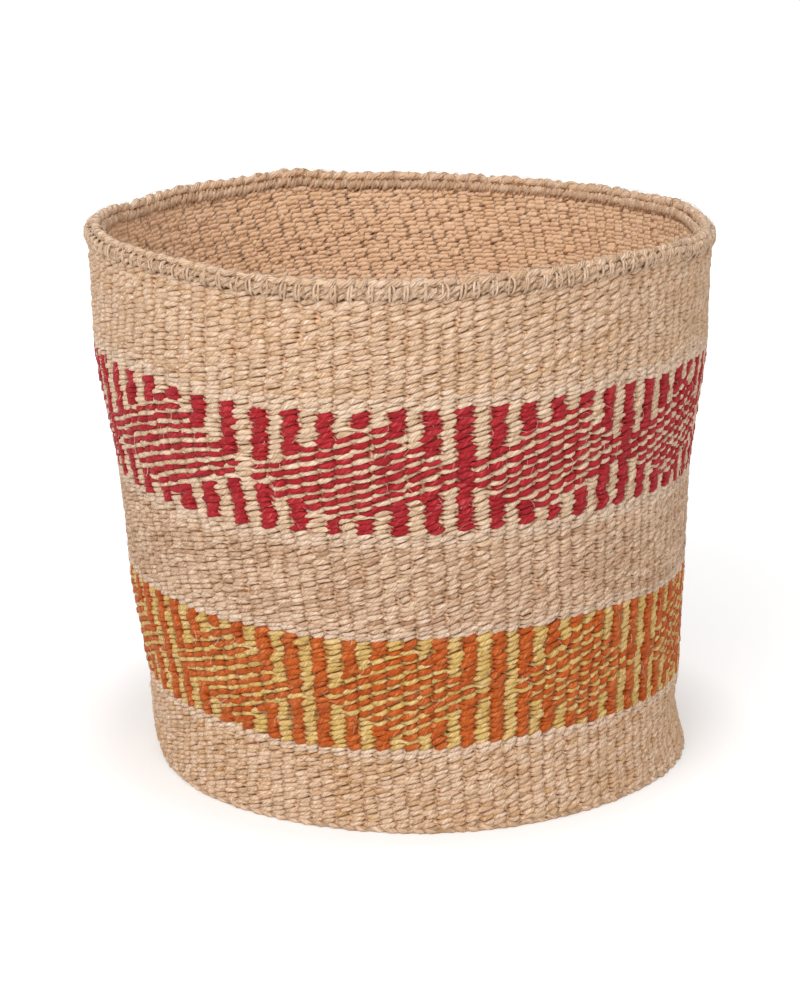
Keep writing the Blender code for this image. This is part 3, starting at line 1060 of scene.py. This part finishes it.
class KIONDO_OT_fibres(bpy.types.Operator):
    """Scatter loose fibres that stand off the strands"""

    bl_idname = "kiondo.fibres"
    bl_label = "Loose fibres"

    def execute(self, context):
        sizes, colours = chosen(context)
        material = yarn_material("loose_fibre", colours.pale, colours.natural, colours.pale, 40.0, twist=0.0,
                                 bump=0.2, groove_shade=1.0)
        self.add_wall_fibres(sizes.fibre_count, material)
        self.add_rim_fibres(sizes.rim_fibre_count, material)
        return {"FINISHED"}

    def add_wall_fibres(self, total, material):
        """Fibres that lie over the wall, most of them on the bands, where they show."""
        rng = np.random.default_rng(400)
        in_band = rng.random(total) < BAND_FIBRES_SHARE
        band_height = np.where(rng.random(total) < 0.5, rng.uniform(ORANGE_FOOT, ORANGE_HEAD, total),
                               rng.uniform(RED_FOOT, RED_HEAD, total))
        height = np.where(in_band, band_height, rng.uniform(0.01, RIM_FOOT, total))
        azimuth = rng.uniform(-pi, pi, total)
        reach = rng.uniform(0.003, 0.009, total)
        slope = rng.normal(0.3, 0.9, total)
        bend = rng.normal(0, 0.9, total)
        proud = rng.uniform(0.0002, 0.0010, total)
        half = rng.uniform(0.00006, 0.00013, total)

        def place(which, along, around):
            turned = slope[which] + bend[which] * along
            bulge = half[which] * np.sin(TURN * around)
            side = reach[which] * along * np.cos(turned) + half[which] * np.cos(TURN * around)
            up = reach[which] * along * np.sin(turned) + bulge
            level = height[which]
            arch = proud[which] * np.sin(pi * (0.15 + 0.8 * along))
            out = outer_radius(level) + arch + FIBRE_LEAST_PROUD
            return settled(azimuth[which] + side / out, out + bulge, level + up), {}

        mesh = cords("loose_fibres", total, 6, 3, place)
        add_piece("loose_fibres", mesh, material, "natural_sisal")

    def add_rim_fibres(self, total, material):
        """Short fibres that arch over the rim's roll, from its outer rows to its inner one."""
        rng = np.random.default_rng(410)
        azimuth = rng.uniform(-pi, pi, total)
        over = rng.uniform(-0.5, 1.15, total) * pi
        curl = rng.normal(0, 0.7, total)
        reach = rng.uniform(0.002, 0.008, total)
        proud = rng.uniform(0.0, 0.0010, total)
        half = rng.uniform(0.00006, 0.00011, total)

        def place(which, along, around):
            section = over[which] + curl[which] * (along - 0.5)
            arch = proud[which] * np.sin(pi * along)
            bulge = 1 + (arch + half[which] * np.cos(TURN * around)) / ROLL_HALF_HEIGHT
            out = ROLL_RADIUS + ROLL_HALF_WIDTH * bulge * np.cos(section)
            up = ROLL_HEIGHT + ROLL_HALF_HEIGHT * bulge * np.sin(section)
            side = reach[which] * along + half[which] * np.sin(TURN * around)
            return settled(azimuth[which] + side / out, out, up), {}

        mesh = cords("rim_fibres", total, 5, 3, place)
        add_piece("rim_fibres", mesh, material, "natural_sisal")


# Stage

CAMERA_LENS = 90.97
CAMERA_PLACE = Vector((0, -1.1974, 0.4669))
CAMERA_AIM = Vector((0, 0, 0.120))
CAMERA_CLIP = (0.05, 50)

# Each lamp's name, place, width and power
LAMPS = (
    ("key", (-1.3, -2.0, 1.9), 2.0, 36.5),
    ("top", (0.0, -2.0, 2.4), 2.0, 21.5),
    ("fill", (1.8, -1.6, 1.1), 1.6, 5.5),
)
WHITE = (1, 1, 1, 1)
WORLD_LIGHT = 0.60
FLOOR_RADIUS = 12
FLOOR_COLOUR = (0.8, 0.8, 0.8, 1)

# The floor's glow, from one distance to another, and the share of it left close to the basket, where the
# cut-back glow is painted shadow round the foot
FLOOR_GLOW = (0.3, 1.0, 0.42, 0.54)
FOOT_GLOW = (0.138, 0.185, 0.50, 1.0)


def add_camera():
    camera = bpy.data.cameras.new("camera")
    camera.lens = CAMERA_LENS
    camera.clip_start, camera.clip_end = CAMERA_CLIP
    seat = bpy.data.objects.new("camera", camera)
    bpy.context.scene.collection.objects.link(seat)
    seat.location = CAMERA_PLACE
    seat.rotation_euler = (CAMERA_AIM - CAMERA_PLACE).to_track_quat("-Z", "Y").to_euler()
    bpy.context.scene.camera = seat


def add_lamp(name, place, width, power):
    lamp = bpy.data.lights.new(name, "AREA")
    lamp.shape = "DISK"
    lamp.size = width
    lamp.energy = power
    seat = bpy.data.objects.new(name, lamp)
    bpy.context.scene.collection.objects.link(seat)
    seat.location = place
    seat.rotation_euler = (CAMERA_AIM - Vector(place)).to_track_quat("-Z", "Y").to_euler()


def white_to_the_camera(nodes):
    """1 for a ray that comes straight from the camera, or from it by way of gloss or glass."""
    path = nodes.add("LightPath").outputs
    seen = nodes.maths("MAXIMUM", path["Is Camera Ray"], path["Is Glossy Ray"])
    return nodes.maths("MAXIMUM", seen, path["Is Transmission Ray"])


def floor_material():
    """Plain pale floor that shows white to the camera, takes the soft shadow, and has painted shadow round the
    basket's foot.
    """
    material = bpy.data.materials.new("floor")
    material.use_nodes = True
    nodes = Nodes(material.node_tree)
    shader = material.node_tree.nodes["Principled BSDF"]
    shader.inputs["Base Color"].default_value = FLOOR_COLOUR
    shader.inputs["Roughness"].default_value = 1
    shader.inputs["Specular IOR Level"].default_value = 0
    shader.inputs["Emission Color"].default_value = WHITE
    place = nodes.add("TexCoord").outputs["Object"]
    away = nodes.add("VectorMath", {0: place}, operation="LENGTH").outputs["Value"]
    glow = nodes.times(white_to_the_camera(nodes), nodes.ramp(away, *FLOOR_GLOW))
    nodes.feed(shader.inputs["Emission Strength"], nodes.times(glow, nodes.ramp(away, *FOOT_GLOW)))
    return material


def add_floor():
    bm = bmesh.new()
    bmesh.ops.create_circle(bm, cap_ends=True, segments=64, radius=FLOOR_RADIUS)
    mesh = bpy.data.meshes.new("floor")
    bm.to_mesh(mesh)
    bm.free()
    mesh.materials.append(floor_material())
    floor = bpy.data.objects.new("floor", mesh)
    bpy.context.scene.collection.objects.link(floor)


def add_world():
    """Even light from all round, white where the camera sees it."""
    world = bpy.data.worlds.new("studio")
    world.use_nodes = True
    nodes = Nodes(world.node_tree)
    background = world.node_tree.nodes["Background"]
    background.inputs["Color"].default_value = WHITE
    nodes.feed(background.inputs["Strength"], nodes.ramp(white_to_the_camera(nodes), 0, 1, WORLD_LIGHT, 1.0))
    bpy.context.scene.world = world


class KIONDO_OT_stage(bpy.types.Operator):
    """Set the camera, the pale floor and the soft light"""

    bl_idname = "kiondo.stage"
    bl_label = "Stage"

    def execute(self, context):
        add_camera()
        add_floor()
        add_world()
        for lamp in LAMPS:
            add_lamp(*lamp)
        context.scene.view_settings.view_transform = "Standard"
        return {"FINISHED"}


class KIONDO_PT_panel(bpy.types.Panel):
    """Sizes, colours and pieces of the basket"""

    bl_idname = "KIONDO_PT_panel"
    bl_label = "Kiondo basket"
    bl_space_type = "VIEW_3D"
    bl_region_type = "UI"
    bl_category = "Kiondo"

    def draw(self, context):
        for group in chosen(context):
            column = self.layout.column(align=True)
            for key in group.__annotations__:
                column.prop(group, key)
        for operator in OPERATORS:
            self.layout.operator(operator.bl_idname)


OPERATORS = (
    KIONDO_OT_warps, KIONDO_OT_base, KIONDO_OT_edge_braid, KIONDO_OT_plain_wall, KIONDO_OT_orange_band,
    KIONDO_OT_red_band, KIONDO_OT_rim, KIONDO_OT_fibres, KIONDO_OT_stage,
)
CLASSES = (KiondoSizes, KiondoColours, *OPERATORS, KIONDO_PT_panel)


def register():
    for cls in CLASSES:
        bpy.utils.register_class(cls)
    bpy.types.Scene.kiondo_sizes = bpy.props.PointerProperty(type=KiondoSizes)
    bpy.types.Scene.kiondo_colours = bpy.props.PointerProperty(type=KiondoColours)


def unregister():
    del bpy.types.Scene.kiondo_colours
    del bpy.types.Scene.kiondo_sizes
    for cls in reversed(CLASSES):
        bpy.utils.unregister_class(cls)


def main():
    register()
    bpy.ops.kiondo.warps()
    bpy.ops.kiondo.base()
    bpy.ops.kiondo.edge_braid()
    bpy.ops.kiondo.plain_wall()
    bpy.ops.kiondo.orange_band()
    bpy.ops.kiondo.red_band()
    bpy.ops.kiondo.rim()
    bpy.ops.kiondo.fibres()
    bpy.ops.kiondo.stage()
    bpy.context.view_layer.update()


if __name__ == "__main__":
    main()
